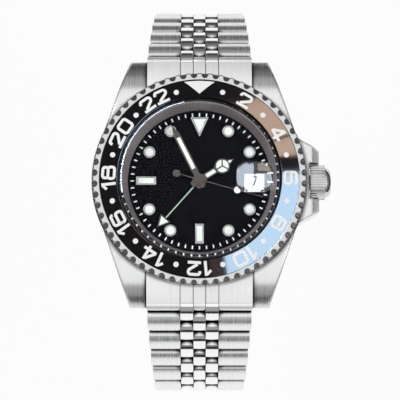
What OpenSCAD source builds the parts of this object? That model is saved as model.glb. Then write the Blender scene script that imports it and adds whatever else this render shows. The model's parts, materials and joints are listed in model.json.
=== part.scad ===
// Wristwatch with a 24-hour bezel and a five-piece-link bracelet, closed as on a wrist.
// Millimetres. Origin: centre of the case back's outer face. +Z out through the dial,
// +Y to 12 o'clock, +X to 3 o'clock (the crown). Each node is drawn where it sits at rest.

/* [Case] */
// Radius of the case middle, seen from above
case_r = 20.4; // [19:0.1:22]
// Half of the length over the lugs
lug_reach = 23.7; // [22:0.1:26]
// Half of the width over the lug tips
lug_tip_x = 13.2; // [12:0.1:15]
// Half of the gap between two lugs
lug_gap = 10.05; // [9:0.05:11.05]
// Height of the case middle's top face
case_top = 7.4; // [6.5:0.1:8.5]
// Height of the lug tips' underside
lug_foot = 0.9; // [0.4:0.1:1.6]
// Radius of the curve along the top of a lug
lug_curve_r = 12.9; // [11:0.1:16]
// Radius of the bore that takes the movement and the crystal
bore_r = 15.15; // [14.6:0.05:15.5]
// Outer radius of the neck on which the bezel turns
neck_r = 16.3; // [16:0.05:16.8]
// Top of that neck
neck_top = 9.75; // [9.2:0.05:9.8]
// Radius of the case back
back_r = 17.4; // [16.5:0.1:17.5]

/* [Bezel and crystal] */
// Width of the bezel insert, seen from above
insert_w = 3.55; // [3:0.05:4]
// Width of the bezel's rim outside the insert
bezel_rim = 1.3; // [1:0.05:1.6]
// Number of half-round grips around the bezel
bezel_grips = 60; // [24:12:72]
// Radius of one grip
grip_r = 0.88; // [0.4:0.02:0.9]
// How far a grip reaches in from the bezel's rim, at the top
grip_in = 1; // [0.5:0.05:1.1]
// Lean of a grip's floor, away from upright
grip_lean = 52; // [30:1:60]
// Inner radius of the bezel insert
insert_bore_r = 15.25; // [15.2:0.05:16]
// Radius of the crystal
crystal_r = 14.9; // [14:0.05:14.95]
// Height of the crystal's top face
crystal_top = 11.2; // [10.8:0.1:12]
// Length of the date magnifier
lens_w = 6.9; // [5:0.1:7]
// Width of the date magnifier
lens_h = 5.7; // [4:0.1:6]

/* [Dial and hands] */
// Radius of the dial's opening at the foot of the inner flange
dial_open_r = 13.55; // [12.5:0.05:14]
// Height of the dial's face
dial_top = 6.4; // [6.1:0.05:6.5]
// Distance of the round markers from the centre
marker_at = 10.95; // [9:0.05:11.5]
// Radius of a round marker's frame
dot_r = 1.12; // [0.8:0.02:1.3]
// Angle of the hour hand, clockwise from 12
hour_deg = 57.8; // [0:0.1:359.9]
// Angle of the minute hand, clockwise from 12
minute_deg = 333.4; // [0:0.1:359.9]
// Angle of the seconds hand, clockwise from 12
seconds_deg = 105.5; // [0:0.1:359.9]
// Angle of the 24-hour hand, clockwise from 12
gmt_deg = 221.7; // [0:0.1:359.9]

/* [Crown] */
// Radius of the crown over its ribs
crown_r = 3.3; // [2.8:0.05:3.3]
// Where the crown's inner face lies along X
crown_from = 20.95; // [20.8:0.05:21.5]
// Length of the crown
crown_long = 3.95; // [3:0.05:4.5]
// Height of the crown's axis
crown_z = 4.3; // [4:0.05:4.6]
// Number of ribs around the crown
crown_ribs = 32; // [20:2:48]

/* [Bracelet] */
// Length of one five-piece link, pin to pin
link_pitch = 5.3; // [5:0.05:5.6]
// Radius of a link piece's round ends
link_end_r = 1.2; // [1:0.01:1.22]
// How far the arched outer face of a piece rises over its round ends
link_rise = 0.3; // [0.15:0.01:0.4]
// Radius of the link pins
pin_r = 0.5; // [0.4:0.02:0.6]
// Running clearance around pins and pivots
run = 0.05; // [0.02:0.01:0.1]
// Half of the width of the first link
first_half_w = 9.85; // [9:0.05:10]
// How much each side narrows from one link to the next
taper = 0.24; // [0:0.02:0.3]
// Half of the width at which the taper ends
last_half_w = 8; // [7:0.1:9]
// Half of the width of the centre piece
centre_half_w = 1.15; // [0.9:0.05:1.4]
// Width of an inner piece
inner_w = 2.42; // [2:0.02:2.8]
// Side gap between two pieces of a link
side_gap = 0.05; // [0.02:0.01:0.1]
// How far the first link pin lies inside the lug tips
pin_inset = 0.5; // [0.2:0.05:0.8]
// Height of the first link pin
first_pin_z = 4.55; // [4.3:0.05:4.8]
// Radius of the end links' top curve
end_curve_r = 28; // [24:1:32]
// How far the spring bars lie inside the lug tips
bar_inset = 3.45; // [3.2:0.05:3.7]
// Height of the spring bars
bar_z = 2.6; // [2.2:0.05:3]

/* [Hidden] */
// Which node is drawn; "all" draws the whole watch.

$fn = 64;
// Slope of each link below the dial's plane, from the end link round to the clasp
slopes = [48, 52, 56, 61, 73, 91, 106, 124, 145, 164];
half_pitch = link_pitch / 2;
// Arch of a piece's outer face: half of its chord, its sag, and its radius
arch_half = (half_pitch + link_end_r) / 2;
arch_sag = link_rise + link_end_r * (1 - cos(30));
arch_r = (arch_half * arch_half + arch_sag * arch_sag) / (2 * arch_sag);
inner_from = centre_half_w + side_gap;
outer_from = inner_from + inner_w + side_gap;
// Places along the lugs, and the bezel's radii and heights
lug_curve_y = lug_reach - 9.7;
// Reach of the crown guards along X, and the lean of their bevel
guard_x = 22.7;
guard_lean = 52;
first_pin_y = lug_reach - pin_inset;
bar_y = lug_reach - bar_inset;
insert_r = insert_bore_r + insert_w;
bezel_r = insert_r + bezel_rim;
bezel_foot = case_top + 0.1;
insert_seat = bezel_foot + 1.9;
bezel_top = insert_seat + 0.8;
insert_crest = bezel_top + 0.55;
// Where the wheels stand in the movement
third_at = 4.5;
third_deg = 250;
escape_at = 4.459;
escape_deg = 320;
pallet_at = 6.55;
balance_at = 8.45;
barrel_at = 5.88;
barrel_deg = 100;
bal = [balance_at * cos(escape_deg), balance_at * sin(escape_deg)];
// Strand pins: where link k's hinge lies, as [distance along Y, height]
function pin_at(k) =
  k == 1 ? [first_pin_y, first_pin_z]
         : pin_at(k - 1) + link_pitch * [cos(slopes[k - 2]), -sin(slopes[k - 2])];
strand_end = pin_at(len(slopes) + 1);
// The clasp follows one long curve: its outer radius, the curve's centre, and how far each layer
// lies inside it
clasp_r = 150;
clasp_z = strand_end.y - 2.23 + clasp_r;
cover_wall = 1.1;
outer_blade_r = [clasp_r - 2.1, clasp_r - 1.6];
inner_blade_r = [clasp_r - 3.3, clasp_r - 2.7];
// Where the clasp ends, and where its blades' hinge and fold lie along Y
clasp_end = strand_end.x - 1.55;
blade_hinge_y = 3.9 - clasp_end;
blade_fold_y = clasp_end - 6.4;
blade_half_w = 5;
blade_end_r = 0.62;
fold_half_w = 2.4;
hinge_pin_r = 0.35;
fold_pin_r = 0.3;
function half_width(k) = max(last_half_w, first_half_w - taper * (k - 1));
// Outline of a spur gear: straight-flanked teeth on a root circle
function gear_points(n, m) = [
  for (i = [0 : n - 1], j = [0 : 3])
    let (r = n * m / 2 + (j == 1 || j == 2 ? 0.85 * m : -1.15 * m),
         a = 360 / n * (i + [-0.24, -0.1, 0.1, 0.24][j]))
    [r * cos(a), r * sin(a)]
];
// Outline of a rectangle with round corners, six points to a corner
function rounded(w, h, r) = [
  for (c = [0 : 3], i = [0 : 6])
    let (sx = [1, -1, -1, 1][c], sy = [1, 1, -1, -1][c], a = 90 * c + 15 * i)
    [sx * (w / 2 - r) + r * cos(a), sy * (h / 2 - r) + r * sin(a)]
];

// Shared building blocks

// A turned ring with flat ends
module ring(r0, r1, z0, z1) {
  translate([0, 0, z0]) difference() {
    cylinder(r = r1, h = z1 - z0);
    translate([0, 0, -1]) cylinder(r = r0, h = z1 - z0 + 2);
  }
}

// An upright cylinder between two heights
module rod(r, z0, z1) {
  translate([0, 0, z0]) cylinder(r = r, h = z1 - z0);
}

// A cylinder along X at a place in the YZ plane
module bar_x(r, x0, x1, y, z) {
  translate([x0, y, z]) rotate([0, 90, 0]) cylinder(r = r, h = x1 - x0);
}

// A block between two corners
module block(a, b) {
  translate(a) cube(b - a);
}

// Lays a 2-D profile of [Y, Z] along X, between two X values
module along_x(x0, x1) {
  translate([x0, 0, 0]) rotate([90, 0, 90]) linear_extrude(x1 - x0) children();
}

// Turns a hand from 12 o'clock to its clock angle
module clock(deg) {
  rotate([0, 0, -deg]) children();
}

// A spur gear between two heights
module gear(n, m, z0, z1) {
  translate([0, 0, z0]) linear_extrude(z1 - z0) polygon(gear_points(n, m));
}

// Stands a piece at a polar place in the movement
module at_polar(r, deg) {
  translate([r * cos(deg), r * sin(deg), 0]) children();
}

// Case

module case_outline() {
  difference() {
    union() {
      circle(r = case_r, $fn = 128);
      polygon([
        [lug_tip_x, lug_reach], [18.4, 8.6], [18.4, -8.6], [lug_tip_x, -lug_reach],
        [-lug_tip_x, -lug_reach], [-18.4, -8.6], [-18.4, 8.6], [-lug_tip_x, lug_reach]
      ]);
      // Crown guards
      for (s = [-1, 1]) polygon([
        [17, 0], [guard_x, 0], [guard_x, s * 5.7], [guard_x - 0.35, s * 6], [21.2, s * 6.7],
        [20, s * 7.3], [18.8, s * 8.05], [17, s * 9.3]
      ]);
    }
    // Gaps for the end links, with the case's round wall left standing
    for (s = [-1, 1]) difference() {
      translate([-lug_gap, s > 0 ? 14 : -34]) square([2 * lug_gap, 20]);
      circle(r = 19, $fn = 128);
    }
    // Room for the crown between its guards
    translate([crown_from - 0.2, -crown_r - 0.1]) square([10, 2 * crown_r + 0.2]);
  }
}

module case_side() {
  intersection() {
    union() {
      translate([-lug_curve_y - 0.6, lug_foot]) square([2 * lug_curve_y + 1.2, case_top - lug_foot]);
      for (s = [-1, 1])
        translate([s * lug_curve_y, case_top - lug_curve_r]) circle(r = lug_curve_r, $fn = 128);
    }
    translate([-lug_reach, lug_foot]) square([2 * lug_reach, case_top - lug_foot]);
  }
}

module mid_case() {
  color("silver") difference() {
    union() {
      intersection() {
        translate([0, 0, lug_foot]) linear_extrude(case_top - lug_foot) case_outline();
        along_x(-26, 26) case_side();
      }
      rod(neck_r, case_top - 0.5, neck_top);
      // Crown tube
      bar_x(1.45, 19, 22, 0, crown_z);
    }
    translate([0, 0, -1]) cylinder(r = bore_r, h = 20);
    // Seat of the case back
    rod(back_r + 0.2, -1, 1.68);
    // Groove for the bezel spring
    ring(neck_r - 0.25, neck_r + 1, 8.2, 8.8);
    bar_x(0.8, 10, 30, 0, crown_z);
    // Bevel of the crown guards
    translate([21.3, -10, case_top]) rotate([0, guard_lean, 0]) cube([5, 20, 5]);
    // Spring bar holes
    for (s = [-1, 1])
      bar_x(0.45, -lug_gap - 1.9, lug_gap + 1.9, s * bar_y, bar_z);
  }
}

module case_back() {
  color("silver") difference() {
    union() {
      rotate_extrude() polygon([
        [0, 0], [back_r - 1.6, 0], [back_r, 0.9], [back_r, 1.62], [0, 1.62]
      ]);
      // Threaded spigot
      rod(15, 1.5, 2.4);
    }
    rod(13.6, 1.1, 3);
    ring(15.55, 16.65, 1.2, 3);
    // Slots for the opening key
    for (i = [0 : 5])
      rotate([0, 0, 60 * i + 30]) block([16.3, -1.1, -1], [19, 1.1, 0.75]);
  }
}

module case_back_gasket() {
  color("black") ring(15.6, 16.6, 1.23, 1.66);
}

// Bezel, crystal and inner flange

module bezel_ring() {
  color("silver") difference() {
    rotate_extrude($fn = 128) polygon([
      [neck_r + 0.06, bezel_foot], [bezel_r - 0.5, bezel_foot], [bezel_r, bezel_foot + 0.4],
      [bezel_r, bezel_top - 0.2], [bezel_r - 0.2, bezel_top], [insert_r + 0.06, bezel_top],
      [insert_r + 0.06, insert_seat], [neck_r + 0.06, insert_seat]
    ]);
    ring(neck_r - 1, neck_r + 0.34, 8.2, 8.8);
    for (i = [0 : bezel_grips - 1])
      rotate([0, 0, 360 / bezel_grips * (i + 0.5)])
        translate([bezel_r - grip_in, 0, bezel_top]) rotate([0, -grip_lean, 0])
          translate([grip_r, 0, -4]) cylinder(r = grip_r, h = 6, $fn = 32);
  }
}

module bezel_insert() {
  color("black") rotate_extrude($fn = 128) polygon([
    [neck_r + 0.1, insert_seat + 0.02], [insert_r, insert_seat + 0.02],
    [insert_r, bezel_top - 0.05], [insert_bore_r + 0.2, insert_crest],
    [insert_bore_r, insert_crest - 0.1], [insert_bore_r, neck_top + 0.1],
    [neck_r + 0.1, neck_top + 0.1]
  ]);
}

module bezel_spring() {
  color("gray") rotate([0, 0, 15]) rotate_extrude(angle = 330)
    translate([neck_r + 0.03, 8.5]) circle(r = 0.25, $fn = 24);
}

module crystal() {
  color("lightblue") rotate_extrude($fn = 128) polygon([
    [0, 8.75], [crystal_r, 8.75], [crystal_r, crystal_top - 0.4],
    [crystal_r - 0.4, crystal_top], [0, crystal_top]
  ]);
}

module crystal_gasket() {
  color("white") ring(crystal_r + 0.02, bore_r - 0.02, 8.74, neck_top + 0.1);
}

module date_magnifier() {
  lens_curve = 13;
  color("lightblue") intersection() {
    translate([10.3, 0, crystal_top + 0.01])
      linear_extrude(2) polygon(rounded(lens_w, lens_h, 1.9));
    translate([10.3, 0, crystal_top + 0.95 - lens_curve]) sphere(r = lens_curve, $fn = 96);
  }
}

module rehaut_ring() {
  color("gray") rotate_extrude($fn = 128) polygon([
    [dial_open_r, dial_top + 0.03], [bore_r - 0.03, dial_top + 0.03],
    [bore_r - 0.03, 8.72], [14.6, 8.72]
  ]);
}

// Dial and markers

module dial() {
  color("black") difference() {
    rod(14.6, dial_top - 0.4, dial_top);
    rod(1.35, 0, 10);
    // Date window
    block([8.9, -1.25, 0], [11.9, 1.25, 10]);
  }
}

module marker_places() {
  for (h = [1, 2, 4, 5, 7, 8, 10, 11])
    clock(30 * h) translate([0, marker_at, 0]) children(0);
  for (h = [6, 9])
    clock(30 * h) translate([0, 10.1, 0]) children(1);
  children(2);
}

module hour_markers() {
  z = dial_top + 0.02;
  color("silver") difference() {
    marker_places() {
      rod(dot_r, z, z + 0.4);
      block([-0.8, -1.9, z], [0.8, 1.9, z + 0.4]);
      translate([0, 0, z]) linear_extrude(0.4) polygon([[-1.75, 12.2], [1.75, 12.2], [0, 8.4]]);
    }
    translate([0, 0, 0.18]) marker_places() {
      rod(dot_r - 0.2, z, z + 1);
      block([-0.62, -1.72, z], [0.62, 1.72, z + 1]);
      translate([0, 0, z]) linear_extrude(1) polygon([[-1.43, 12], [1.43, 12], [0, 8.9]]);
    }
  }
}

module marker_lume() {
  z = dial_top + 0.22;
  color("ivory") marker_places() {
    rod(dot_r - 0.22, z, z + 0.22);
    block([-0.6, -1.7, z], [0.6, 1.7, z + 0.22]);
    translate([0, 0, z]) linear_extrude(0.22) polygon([[-1.39, 11.98], [1.39, 11.98], [0, 8.97]]);
  }
}

// Hands, each drawn at 12 o'clock and turned to its angle

module seconds_hand() {
  color("silver") clock(seconds_deg) difference() {
    union() {
      rod(0.75, 8.1, 8.22);
      block([-0.09, -5.2, 8.1], [0.09, 12.4, 8.22]);
      translate([0, 7.4, 0]) rod(0.78, 8.1, 8.22);
      translate([0, -4.5, 0]) rod(0.7, 8.1, 8.22);
    }
    rod(0.22, 8, 9);
  }
}

module minute_hand() {
  color("silver") clock(minute_deg) difference() {
    union() {
      rod(1, 7.62, 7.78);
      translate([0, 0, 7.62]) linear_extrude(0.16)
        polygon([[-0.45, -1.6], [0.45, -1.6], [0.5, 0], [0.66, 2.6], [0.66, 9.6], [0, 11.8],
                 [-0.66, 9.6], [-0.66, 2.6], [-0.5, 0]]);
    }
    rod(0.57, 7, 9);
    translate([0, 0, 7.7]) linear_extrude(1) polygon([
      [-0.4, 2.2], [0.4, 2.2], [0.4, 9.4], [0, 10.3], [-0.4, 9.4]
    ]);
  }
}

module hour_hand() {
  color("silver") clock(hour_deg) difference() {
    union() {
      rod(1.2, 7.18, 7.34);
      translate([0, 0, 7.18]) linear_extrude(0.16)
        polygon([[-0.6, -1.7], [0.6, -1.7], [0.62, 6.2], [0, 7.75], [-0.62, 6.2]]);
      translate([0, 5.1, 0]) rod(1.45, 7.18, 7.34);
    }
    rod(0.87, 7, 9);
    // Pockets for the lume, with one bar left across the round one
    translate([0, 5.1, 0]) difference() {
      rod(1.2, 7.26, 8);
      block([-0.11, -2, 7], [0.11, 2, 9]);
    }
    block([-0.36, 1.5, 7.26], [0.36, 3.5, 8]);
    translate([0, 0, 7.26]) linear_extrude(1) polygon([[-0.3, 6.5], [0.3, 6.5], [0, 7.3]]);
  }
}

module gmt_hand() {
  color("silver") clock(gmt_deg) difference() {
    union() {
      rod(1.35, 6.92, 7.04);
      block([-0.14, 0, 6.92], [0.14, 10, 7.04]);
      translate([0, 0, 6.92]) linear_extrude(0.12) polygon([[-1.25, 9.6], [1.25, 9.6], [0, 12]]);
    }
    rod(1.17, 6, 8);
    translate([0, 0, 6.98]) linear_extrude(1) polygon([[-0.85, 9.8], [0.85, 9.8], [0, 11.5]]);
  }
}

// Movement: plates

module movement_ring() {
  color("white") difference() {
    ring(13, bore_r - 0.05, 2.6, dial_top - 0.42);
    bar_x(0.8, 10, 20, 0, crown_z);
  }
}

module main_plate() {
  color("gold") difference() {
    union() {
      rod(12.95, 4.5, 5.1);
      // Pillars that carry the bridge and the cock
      for (a = [30, 175, 215, 285]) at_polar(11.9, a) rod(0.8, 2.98, 4.6);
      at_polar(12.35, escape_deg) rod(0.5, 2.98, 4.6);
    }
    rod(0.62, 4, 6);
    at_polar(third_at, third_deg) rod(0.15, 4, 6);
    at_polar(escape_at, escape_deg) rod(0.15, 4, 6);
    at_polar(pallet_at, escape_deg) rod(0.15, 4, 6);
    translate([bal.x, bal.y, 0]) rod(0.15, 4, 6);
    // Opening for the mainspring barrel
    at_polar(barrel_at, barrel_deg) rod(4.85, 4, 6);
    // Channel for the winding stem
    block([7, -0.75, 3], [14, 0.75, 5.6]);
  }
}

module train_bridge() {
  color("silver") difference() {
    union() {
      rod(12.6, 2.5, 2.95);
      // Post on which the winding rotor turns, and the flange that keeps it on
      rod(0.85, 1.5, 2.6);
      rod(1.4, 1.6, 2.05);
    }
    rod(0.25, 2.2, 4);
    at_polar(third_at, third_deg) rod(0.15, 2, 4);
    at_polar(escape_at, escape_deg) rod(0.15, 2, 4);
    at_polar(barrel_at, barrel_deg) rod(0.65, 2, 4);
    // Left open for the balance and its cock
    translate([bal.x, bal.y, 0]) rod(3.6, 2, 4);
    at_polar(12.6, escape_deg) rod(3.4, 2, 4);
  }
}

module balance_cock() {
  color("silver") difference() {
    union() {
      translate([bal.x, bal.y, 0]) rod(1.3, 2.5, 2.95);
      rotate([0, 0, escape_deg]) block([balance_at, -0.9, 2.5], [12.5, 0.9, 2.95]);
      // Finger that holds the pallet's lower pivot
      rotate([0, 0, escape_deg]) block([pallet_at - 0.5, -0.5, 2.5], [balance_at, 0.5, 2.95]);
    }
    translate([bal.x, bal.y, 0]) rod(0.15, 2, 4);
    at_polar(pallet_at, escape_deg) rod(0.15, 2, 4);
  }
}

// Movement: wheels

module fourth_wheel() {
  color("gold") union() {
    rod(0.2, 2.55, 8.2);
    rotate([0, 0, escape_deg]) gear(84, 0.098, 3.4, 3.52);
    rotate([0, 0, third_deg + 22.5]) gear(8, 4.5 / 34, 3.55, 3.86);
    rod(0.45, 3.3, 3.56);
  }
}

module centre_wheel() {
  color("gold") difference() {
    union() {
      rotate([0, 0, third_deg]) gear(64, 0.125, 3.95, 4.1);
      rotate([0, 0, barrel_deg + 15]) gear(12, 0.14, 4.1, 4.42);
      rod(0.55, 3.95, 7.76);
    }
    rod(0.25, 3, 9);
  }
}

module hour_wheel() {
  color("gold") difference() {
    union() {
      gear(48, 0.12, 5.2, 5.35);
      rod(0.85, 5.2, 7.32);
    }
    rod(0.6, 5, 9);
  }
}

module gmt_wheel() {
  color("gold") difference() {
    union() {
      gear(56, 0.12, 5.5, 5.65);
      rod(1.15, 5.5, 7.02);
    }
    rod(0.9, 5, 9);
  }
}

module third_wheel() {
  color("gold") at_polar(third_at, third_deg) union() {
    rod(0.12, 2.55, 5.05);
    rotate([0, 0, third_deg + 180 + 3]) gear(60, 4.5 / 34, 3.7, 3.82);
    rotate([0, 0, third_deg + 180 + 22.5]) gear(8, 0.125, 3.8, 4.3);
  }
}

module mainspring_barrel() {
  color("gold") at_polar(barrel_at, barrel_deg) union() {
    rotate([0, 0, barrel_deg + 180]) gear(72, 0.14, 4.2, 4.36);
    rod(4.7, 4.3, 5.05);
    rod(0.6, 2.55, 4.3);
  }
}

module escape_wheel() {
  color("gold") at_polar(escape_at, escape_deg) union() {
    rod(0.12, 2.55, 5.05);
    rotate([0, 0, escape_deg + 180 + 180 / 7]) gear(7, 0.098, 3.3, 3.62);
    // Club teeth, leaning the way the wheel turns
    translate([0, 0, 3.05]) linear_extrude(0.13) polygon([
      for (i = [0 : 19], j = [0 : 2])
        let (r = [1.2, 1.6, 1.56][j], a = 18 * i + [0, 6, 9][j])
        [r * cos(a), r * sin(a)]
    ]);
  }
}

module pallet_fork() {
  color("silver") rotate([0, 0, escape_deg]) translate([pallet_at, 0, 0]) union() {
    rod(0.12, 2.55, 5.05);
    translate([0, 0, 3.05]) linear_extrude(0.13) difference() {
      polygon([[-0.85, -1.38], [-0.6, -1.5], [0.15, -0.3], [1.4, -0.16], [1.4, 0.16],
               [0.15, 0.3], [-0.6, 1.5], [-0.85, 1.38], [-0.25, 0]]);
      translate([1.1, -0.08]) square([1, 0.16]);
    }
  }
}

module balance_wheel() {
  color("gold") translate([bal.x, bal.y, 0]) union() {
    rod(0.12, 2.55, 5.05);
    ring(2.6, 3, 3.65, 3.9);
    for (a = [0, 60, 120]) rotate([0, 0, a + escape_deg])
      block([-2.7, -0.14, 3.7], [2.7, 0.14, 3.85]);
    // Roller and its impulse pin
    rod(0.8, 3.3, 3.42);
    rod(0.3, 3.3, 3.75);
    rotate([0, 0, escape_deg + 180]) translate([0.65, 0, 0]) rod(0.07, 3.2, 3.4);
    // Hairspring: a flat spiral in four half turns and more, held at the collet
    for (i = [0 : 5]) let (r = 0.55 + 0.22 * i, odd = i % 2)
      translate([odd ? -0.11 : 0.11, 0, 4.05])
        rotate_extrude(angle = 180, start = odd ? 180 : 0)
          translate([r, 0]) square([0.05, 0.22]);
    rod(0.46, 3.85, 4.27);
    block([0.4, -0.05, 4.05], [0.7, 0.05, 4.27]);
  }
}

module winding_rotor() {
  color("silver") difference() {
    union() {
      rod(2.2, 2.12, 2.36);
      intersection() {
        union() {
          rod(12, 2.16, 2.36);
          ring(8.8, 12, 1.4, 2.36);
        }
        block([-13, -13, 0], [13, 0, 5]);
      }
    }
    rod(0.9, 0, 5);
  }
}

module date_ring() {
  color("white") translate([0, 0, 5.68]) linear_extrude(0.22) difference() {
    circle(r = 12.5);
    polygon([
      for (i = [0 : 30], j = [0 : 3])
        let (r = j == 1 || j == 2 ? 8.2 : 8.75, a = 360 / 31 * (i + [0, 0.12, 0.45, 0.57][j]))
        [r * cos(a), r * sin(a)]
    ]);
  }
}

// Crown and stem

module winding_stem() {
  color("gray") union() {
    bar_x(0.55, 8.2, 23.2, 0, crown_z);
    block([8.2, -0.5, crown_z - 0.5], [9.4, 0.5, crown_z + 0.5]);
  }
}

module crown() {
  ribs = [
    for (i = [0 : crown_ribs - 1], j = [0 : 3])
      let (r = crown_r - (j == 1 || j == 2 ? 0 : 0.22),
           a = 360 / crown_ribs * (i + [-0.3, -0.16, 0.16, 0.3][j]))
      [r * cos(a), r * sin(a)]
  ];
  color("silver") translate([crown_from, 0, crown_z]) rotate([0, 90, 0]) difference() {
    union() {
      linear_extrude(crown_long - 1.1) polygon(ribs);
      rotate_extrude() polygon([
        [0, 0], [crown_r - 0.35, 0], [crown_r - 0.35, crown_long - 0.9],
        [crown_r - 0.7, crown_long - 0.35], [crown_r - 1.1, crown_long], [0, crown_long]
      ]);
    }
    // Room for the crown tube, then the bore for the stem
    translate([0, 0, -1]) cylinder(r = 1.6, h = 2.4);
    translate([0, 0, -1]) cylinder(r = 0.6, h = 3.4);
  }
}

// Bracelet

module spring_bars() {
  color("gray") for (s = [-1, 1]) union() {
    bar_x(0.62, -9.7, 9.7, s * bar_y, bar_z);
    bar_x(0.4, -lug_gap - 1.6, lug_gap + 1.6, s * bar_y, bar_z);
  }
}

// Profile of a link piece over two pins, along the strand
module piece_profile() {
  difference() {
    union() {
      circle(r = link_end_r, $fn = 48);
      translate([half_pitch, 0]) circle(r = link_end_r, $fn = 48);
      translate([0, -link_end_r]) square([half_pitch, 2 * link_end_r]);
      // Arched outer face, meeting the round ends beyond the pins
      intersection() {
        translate([half_pitch / 2, link_end_r + link_rise - arch_r]) circle(r = arch_r, $fn = 160);
        translate([-link_end_r / 2, 0]) square([half_pitch + link_end_r, 2 * link_end_r]);
      }
    }
    circle(r = pin_r + run, $fn = 32);
    translate([half_pitch, 0]) circle(r = pin_r + run, $fn = 32);
  }
}

// One five-piece link lying along +Y from its hinge pin
module link_pieces(half_w) {
  for (s = [-1, 1]) {
    along_x(s > 0 ? inner_from : -inner_from - inner_w, s > 0 ? inner_from + inner_w : -inner_from)
      piece_profile();
    along_x(s > 0 ? outer_from : -half_w, s > 0 ? half_w : -outer_from)
      translate([half_pitch, 0]) piece_profile();
  }
  along_x(-centre_half_w, centre_half_w) translate([half_pitch, 0]) piece_profile();
  bar_x(pin_r, 0.05 - half_w, half_w - 0.05, 0, 0);
  bar_x(pin_r, 0.05 - half_w, half_w - 0.05, half_pitch, 0);
}

// Link k of a strand where it lies in the closed bracelet; side 1 is 12 o'clock, -1 is 6
module link(side, k) {
  color("silver") rotate([0, 0, side > 0 ? 0 : 180])
    translate([0, pin_at(k).x, pin_at(k).y]) rotate([-slopes[k - 1], 0, 0])
      link_pieces(half_width(k));
}

module end_link(side) {
  color("silver") rotate([0, 0, side > 0 ? 0 : 180]) difference() {
    union() {
      intersection() {
        along_x(-lug_gap + 0.06, lug_gap - 0.06) difference() {
          translate([lug_curve_y, case_top - end_curve_r]) circle(r = end_curve_r - 0.06, $fn = 192);
          translate([0, -30]) square([60, 31]);
          translate([first_pin_y, 0]) square([30, 30]);
        }
        block([-12, 10, 0], [12, 30, 10]);
      }
      bar_x(link_end_r, -lug_gap + 0.06, lug_gap - 0.06, first_pin_y, first_pin_z);
    }
    translate([0, 0, -5]) cylinder(r = 19.06, h = 20, $fn = 128);
    // Room for the first link's inner pieces
    for (s = [-1, 1]) along_x(s > 0 ? inner_from - side_gap : -inner_from - inner_w - side_gap,
                              s > 0 ? inner_from + inner_w + side_gap : -inner_from + side_gap) {
      translate([first_pin_y, first_pin_z]) circle(r = link_end_r + 0.08, $fn = 48);
      translate([first_pin_y, 0]) square([10, 10]);
      translate([first_pin_y - link_end_r - 0.08, first_pin_z - 10]) square([20, 10]);
    }
    bar_x(pin_r + run, -first_half_w, first_half_w, first_pin_y, first_pin_z);
    bar_x(0.7, -12, 12, bar_y, bar_z);
    // Grooves that carry the five pieces' joints on into the end link
    for (x = [inner_from - side_gap / 2, outer_from - side_gap / 2], s = [-1, 1])
      along_x(s * x - 0.06, s * x + 0.06) difference() {
        translate([lug_curve_y, case_top - end_curve_r]) circle(r = end_curve_r + 1);
        translate([lug_curve_y, case_top - end_curve_r]) circle(r = end_curve_r - 0.3, $fn = 192);
      }
  }
}

module end_link_12() { end_link(1); }
module end_link_06() { end_link(-1); }

// A length of the clasp's long curve: profile between two radii and two Y values
module clasp_arc(r0, r1, y0, y1) {
  intersection() {
    translate([0, clasp_z]) difference() {
      circle(r = r1, $fn = 256);
      circle(r = r0, $fn = 256);
    }
    translate([y0, -60]) square([y1 - y0, 60]);
  }
}

// Height of the clasp's curve of one radius at a place along Y
function clasp_height(r, y) = clasp_z - sqrt(r * r - y * y);

module clasp_cover() {
  hinge_z = clasp_height(clasp_r - 1.9, blade_hinge_y);
  wall_x = last_half_w + 0.2;
  color("silver") difference() {
    union() {
      along_x(-wall_x, wall_x) clasp_arc(clasp_r - cover_wall, clasp_r, 0.6 - clasp_end, clasp_end);
      for (s = [-1, 1]) {
        along_x(s > 0 ? wall_x - 0.8 : -wall_x, s > 0 ? wall_x : 0.8 - wall_x)
          clasp_arc(clasp_r - 3, clasp_r - cover_wall + 0.5, 2.4 - clasp_end, clasp_end - 1.9);
        // Ears of the blade hinge
        along_x(s > 0 ? blade_half_w + 0.3 : -blade_half_w - 1.3,
                s > 0 ? blade_half_w + 1.3 : -blade_half_w - 0.3) union() {
          translate([blade_hinge_y, hinge_z]) circle(r = 0.8, $fn = 32);
          translate([blade_hinge_y - 0.8, hinge_z - 1.4]) square([1.6, 1.4]);
        }
        // Knuckles over the last link's pin
        along_x(s > 0 ? inner_from : -inner_from - inner_w,
                s > 0 ? inner_from + inner_w : -inner_from) union() {
          translate(strand_end) circle(r = link_end_r, $fn = 48);
          translate(strand_end - [2.6, 0.9]) square([2.6, 1.5]);
        }
      }
      bar_x(hinge_pin_r, -blade_half_w - 1, blade_half_w + 1, blade_hinge_y, hinge_z);
    }
    bar_x(pin_r + run, 0.5 - last_half_w, last_half_w - 0.5, strand_end.x, strand_end.y);
  }
  // Pin of the last link
  color("silver") bar_x(pin_r, 0.4 - last_half_w, last_half_w - 0.4, strand_end.x, strand_end.y);
}

module clasp_blade_1() {
  hinge_z = clasp_height(clasp_r - 1.9, blade_hinge_y);
  fold_z = clasp_height(clasp_r - 2.5, blade_fold_y);
  color("silver") difference() {
    union() {
      along_x(-blade_half_w, blade_half_w)
        clasp_arc(outer_blade_r[0], outer_blade_r[1], blade_hinge_y, blade_fold_y - 1.2);
      along_x(-fold_half_w, fold_half_w)
        clasp_arc(outer_blade_r[0], outer_blade_r[1], blade_fold_y - 2, blade_fold_y);
      bar_x(blade_end_r, -blade_half_w, blade_half_w, blade_hinge_y, hinge_z);
      bar_x(blade_end_r, -fold_half_w, fold_half_w, blade_fold_y, fold_z);
    }
    bar_x(hinge_pin_r + run, -blade_half_w - 2, blade_half_w + 2, blade_hinge_y, hinge_z);
    bar_x(fold_pin_r + run, -blade_half_w - 2, blade_half_w + 2, blade_fold_y, fold_z);
  }
}

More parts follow.
